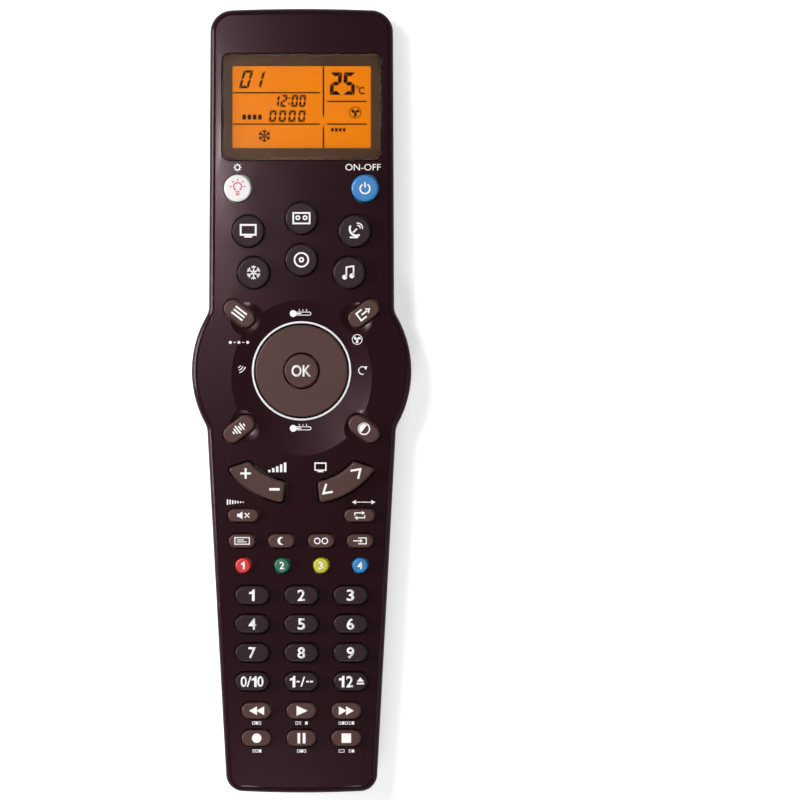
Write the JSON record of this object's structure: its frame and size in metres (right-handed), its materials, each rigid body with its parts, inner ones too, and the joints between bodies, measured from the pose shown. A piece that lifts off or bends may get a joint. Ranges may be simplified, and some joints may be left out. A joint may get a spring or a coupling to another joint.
{
  "type": "universal remote control",
  "caption": "Long hand-held universal remote control with a backlit display, a round tilting direction pad in a bulged waist, two crescent rockers and rows of rubber keys.",
  "frame": {"origin": "on the surface it lies on, under the middle of its footprint", "axes": "+Y towards the display end, +Z out of the key side, +X to the right of the keys"},
  "size_m": [0.0672, 0.24, 0.0308],
  "materials": {
    "face": "dark maroon satin with a fine metallic sheen",
    "band": "silver-grey metallic paint on plastic, satin",
    "rear": "glossy near-black plastic",
    "lens": "clear acrylic lens",
    "lcd": "orange backlit liquid-crystal panel",
    "diffuser": "white light guide",
    "board": "green solder mask",
    "silicone": "grey silicone",
    "ring": "silver-white plated plastic",
    "sender_window": "dark infrared-passing plastic",
    "diode": "clear epoxy",
    "cell": "plain sleeve over a steel can",
    "spring_steel": "nickel-plated spring steel",
    "screw": "zinc-plated steel",
    "white_key": "white rubber with a soft gloss",
    "blue_key": "blue, soft gloss",
    "red_key": "red, soft gloss",
    "green_key": "green, soft gloss",
    "yellow_key": "yellow, soft gloss",
    "brown_key": "brown-grey, soft gloss",
    "dark_key": "dark maroon-grey, soft gloss"
  },
  "bodies": {
    "root": {"front_cover": "face", "side_band": "band", "rear_cover": "rear", "display_window": "lens", "lcd_panel": "lcd", "backlight_panel": "diffuser", "main_board": "board", "keypad_mat": "silicone", "nav_ring": "ring", "ir_window": "sender_window", "ir_leds": "diode", "battery_cells": "cell", "battery_contacts": "spring_steel", "case_screws": "screw"},
    "light_key": {"light_key": "white_key"},
    "power_key": {"power_key": "blue_key"},
    "memory_key_1": {"memory_key_1": "red_key"},
    "memory_key_2": {"memory_key_2": "green_key"},
    "memory_key_3": {"memory_key_3": "yellow_key"},
    "memory_key_4": {"memory_key_4": "blue_key"},
    "tv_key": {"tv_key": "dark_key"},
    "tape_key": {"tape_key": "dark_key"},
    "satellite_key": {"satellite_key": "dark_key"},
    "climate_key": {"climate_key": "dark_key"},
    "disc_key": {"disc_key": "dark_key"},
    "music_key": {"music_key": "dark_key"},
    "number_key_1": {"number_key_1": "dark_key"},
    "number_key_2": {"number_key_2": "dark_key"},
    "number_key_3": {"number_key_3": "dark_key"},
    "number_key_4": {"number_key_4": "dark_key"},
    "number_key_5": {"number_key_5": "dark_key"},
    "number_key_6": {"number_key_6": "dark_key"},
    "number_key_7": {"number_key_7": "dark_key"},
    "number_key_8": {"number_key_8": "dark_key"},
    "number_key_9": {"number_key_9": "dark_key"},
    "number_key_0": {"number_key_0": "dark_key"},
    "number_key_12": {"number_key_12": "dark_key"},
    "digit_entry_key": {"digit_entry_key": "dark_key"},
    "menu_key": {"menu_key": "brown_key"},
    "exit_key": {"exit_key": "brown_key"},
    "audio_key": {"audio_key": "brown_key"},
    "normal_key": {"normal_key": "brown_key"},
    "ok_key": {"ok_key": "brown_key"},
    "mute_key": {"mute_key": "brown_key"},
    "recall_key": {"recall_key": "brown_key"},
    "display_key": {"display_key": "brown_key"},
    "sleep_key": {"sleep_key": "brown_key"},
    "sound_key": {"sound_key": "brown_key"},
    "source_key": {"source_key": "brown_key"},
    "rewind_key": {"rewind_key": "brown_key"},
    "play_key": {"play_key": "brown_key"},
    "forward_key": {"forward_key": "brown_key"},
    "record_key": {"record_key": "brown_key"},
    "pause_key": {"pause_key": "brown_key"},
    "stop_key": {"stop_key": "brown_key"},
    "nav_boot": {"nav_boot": "silicone"},
    "nav_pad": {"nav_pad": "brown_key"},
    "volume_rocker": {"volume_rocker": "brown_key"},
    "channel_rocker": {"channel_rocker": "brown_key"},
    "battery_door": {"battery_door": "rear"}
  },
  "joints": [
    {"name": "nav_tilt_sideways", "type": "hinge", "parent": "root", "child": "nav_boot", "pos_m": [0, 0.0091, 0.02739], "axis": [0, 1, 0], "range_deg": [-3.5, 3.5], "stiffness_Nm_per_rad": 0.15},
    {"name": "nav_tilt_lengthways", "type": "hinge", "parent": "nav_boot", "child": "nav_pad", "pos_m": [0, 0.0091, 0.02739], "axis": [1, 0, 0], "range_deg": [-3.5, 3.5], "stiffness_Nm_per_rad": 0.15},
    {"name": "volume_rocker_tilt", "type": "hinge", "parent": "root", "child": "volume_rocker", "pos_m": [-0.013, -0.0249, 0.02853], "axis": [-0.5, -0.866, 0], "range_deg": [-6, 6], "stiffness_Nm_per_rad": 0.1},
    {"name": "channel_rocker_tilt", "type": "hinge", "parent": "root", "child": "channel_rocker", "pos_m": [0.013, -0.0249, 0.02853], "axis": [0.5, -0.866, 0], "range_deg": [-6, 6], "stiffness_Nm_per_rad": 0.1},
    {"name": "battery_door_swing", "type": "hinge", "parent": "root", "child": "battery_door", "pos_m": [0, 0.0031, 0.0002], "axis": [1, 0, 0], "range_deg": [0, 60]},
    {"name": "light_key_press", "type": "slide", "parent": "root", "child": "light_key", "axis": [0, 0, -1], "range_m": [0, 0.001], "stiffness_N_per_m": 600},
    {"name": "power_key_press", "type": "slide", "parent": "root", "child": "power_key", "axis": [0, 0, -1], "range_m": [0, 0.001], "stiffness_N_per_m": 600},
    {"name": "memory_key_1_press", "type": "slide", "parent": "root", "child": "memory_key_1", "axis": [0, 0, -1], "range_m": [0, 0.001], "stiffness_N_per_m": 600},
    {"name": "memory_key_2_press", "type": "slide", "parent": "root", "child": "memory_key_2", "axis": [0, 0, -1], "range_m": [0, 0.001], "stiffness_N_per_m": 600},
    {"name": "memory_key_3_press", "type": "slide", "parent": "root", "child": "memory_key_3", "axis": [0, 0, -1], "range_m": [0, 0.001], "stiffness_N_per_m": 600},
    {"name": "memory_key_4_press", "type": "slide", "parent": "root", "child": "memory_key_4", "axis": [0, 0, -1], "range_m": [0, 0.001], "stiffness_N_per_m": 600},
    {"name": "tv_key_press", "type": "slide", "parent": "root", "child": "tv_key", "axis": [0, 0, -1], "range_m": [0, 0.001], "stiffness_N_per_m": 600},
    {"name": "tape_key_press", "type": "slide", "parent": "root", "child": "tape_key", "axis": [0, 0, -1], "range_m": [0, 0.001], "stiffness_N_per_m": 600},
    {"name": "satellite_key_press", "type": "slide", "parent": "root", "child": "satellite_key", "axis": [0, 0, -1], "range_m": [0, 0.001], "stiffness_N_per_m": 600},
    {"name": "climate_key_press", "type": "slide", "parent": "root", "child": "climate_key", "axis": [0, 0, -1], "range_m": [0, 0.001], "stiffness_N_per_m": 600},
    {"name": "disc_key_press", "type": "slide", "parent": "root", "child": "disc_key", "axis": [0, 0, -1], "range_m": [0, 0.001], "stiffness_N_per_m": 600},
    {"name": "music_key_press", "type": "slide", "parent": "root", "child": "music_key", "axis": [0, 0, -1], "range_m": [0, 0.001], "stiffness_N_per_m": 600},
    {"name": "number_key_1_press", "type": "slide", "parent": "root", "child": "number_key_1", "axis": [0, 0, -1], "range_m": [0, 0.001], "stiffness_N_per_m": 600},
    {"name": "number_key_2_press", "type": "slide", "parent": "root", "child": "number_key_2", "axis": [0, 0, -1], "range_m": [0, 0.001], "stiffness_N_per_m": 600},
    {"name": "number_key_3_press", "type": "slide", "parent": "root", "child": "number_key_3", "axis": [0, 0, -1], "range_m": [0, 0.001], "stiffness_N_per_m": 600},
    {"name": "number_key_4_press", "type": "slide", "parent": "root", "child": "number_key_4", "axis": [0, 0, -1], "range_m": [0, 0.001], "stiffness_N_per_m": 600},
    {"name": "number_key_5_press", "type": "slide", "parent": "root", "child": "number_key_5", "axis": [0, 0, -1], "range_m": [0, 0.001], "stiffness_N_per_m": 600},
    {"name": "number_key_6_press", "type": "slide", "parent": "root", "child": "number_key_6", "axis": [0, 0, -1], "range_m": [0, 0.001], "stiffness_N_per_m": 600},
    {"name": "number_key_7_press", "type": "slide", "parent": "root", "child": "number_key_7", "axis": [0, 0, -1], "range_m": [0, 0.001], "stiffness_N_per_m": 600},
    {"name": "number_key_8_press", "type": "slide", "parent": "root", "child": "number_key_8", "axis": [0, 0, -1], "range_m": [0, 0.001], "stiffness_N_per_m": 600},
    {"name": "number_key_9_press", "type": "slide", "parent": "root", "child": "number_key_9", "axis": [0, 0, -1], "range_m": [0, 0.001], "stiffness_N_per_m": 600},
    {"name": "number_key_0_press", "type": "slide", "parent": "root", "child": "number_key_0", "axis": [0, 0, -1], "range_m": [0, 0.001], "stiffness_N_per_m": 600},
    {"name": "number_key_12_press", "type": "slide", "parent": "root", "child": "number_key_12", "axis": [0, 0, -1], "range_m": [0, 0.001], "stiffness_N_per_m": 600},
    {"name": "digit_entry_key_press", "type": "slide", "parent": "root", "child": "digit_entry_key", "axis": [0, 0, -1], "range_m": [0, 0.001], "stiffness_N_per_m": 600},
    {"name": "menu_key_press", "type": "slide", "parent": "root", "child": "menu_key", "axis": [0, 0, -1], "range_m": [0, 0.001], "stiffness_N_per_m": 600},
    {"name": "exit_key_press", "type": "slide", "parent": "root", "child": "exit_key", "axis": [0, 0, -1], "range_m": [0, 0.001], "stiffness_N_per_m": 600},
    {"name": "audio_key_press", "type": "slide", "parent": "root", "child": "audio_key", "axis": [0, 0, -1], "range_m": [0, 0.001], "stiffness_N_per_m": 600},
    {"name": "normal_key_press", "type": "slide", "parent": "root", "child": "normal_key", "axis": [0, 0, -1], "range_m": [0, 0.001], "stiffness_N_per_m": 600},
    {"name": "ok_key_press", "type": "slide", "parent": "root", "child": "ok_key", "axis": [0, 0, -1], "range_m": [0, 0.001], "stiffness_N_per_m": 600},
    {"name": "mute_key_press", "type": "slide", "parent": "root", "child": "mute_key", "axis": [0, 0, -1], "range_m": [0, 0.001], "stiffness_N_per_m": 600},
    {"name": "recall_key_press", "type": "slide", "parent": "root", "child": "recall_key", "axis": [0, 0, -1], "range_m": [0, 0.001], "stiffness_N_per_m": 600},
    {"name": "display_key_press", "type": "slide", "parent": "root", "child": "display_key", "axis": [0, 0, -1], "range_m": [0, 0.001], "stiffness_N_per_m": 600},
    {"name": "sleep_key_press", "type": "slide", "parent": "root", "child": "sleep_key", "axis": [0, 0, -1], "range_m": [0, 0.001], "stiffness_N_per_m": 600},
    {"name": "sound_key_press", "type": "slide", "parent": "root", "child": "sound_key", "axis": [0, 0, -1], "range_m": [0, 0.001], "stiffness_N_per_m": 600},
    {"name": "source_key_press", "type": "slide", "parent": "root", "child": "source_key", "axis": [0, 0, -1], "range_m": [0, 0.001], "stiffness_N_per_m": 600},
    {"name": "rewind_key_press", "type": "slide", "parent": "root", "child": "rewind_key", "axis": [0, 0, -1], "range_m": [0, 0.001], "stiffness_N_per_m": 600},
    {"name": "play_key_press", "type": "slide", "parent": "root", "child": "play_key", "axis": [0, 0, -1], "range_m": [0, 0.001], "stiffness_N_per_m": 600},
    {"name": "forward_key_press", "type": "slide", "parent": "root", "child": "forward_key", "axis": [0, 0, -1], "range_m": [0, 0.001], "stiffness_N_per_m": 600},
    {"name": "record_key_press", "type": "slide", "parent": "root", "child": "record_key", "axis": [0, 0, -1], "range_m": [0, 0.001], "stiffness_N_per_m": 600},
    {"name": "pause_key_press", "type": "slide", "parent": "root", "child": "pause_key", "axis": [0, 0, -1], "range_m": [0, 0.001], "stiffness_N_per_m": 600},
    {"name": "stop_key_press", "type": "slide", "parent": "root", "child": "stop_key", "axis": [0, 0, -1], "range_m": [0, 0.001], "stiffness_N_per_m": 600}
  ]
}
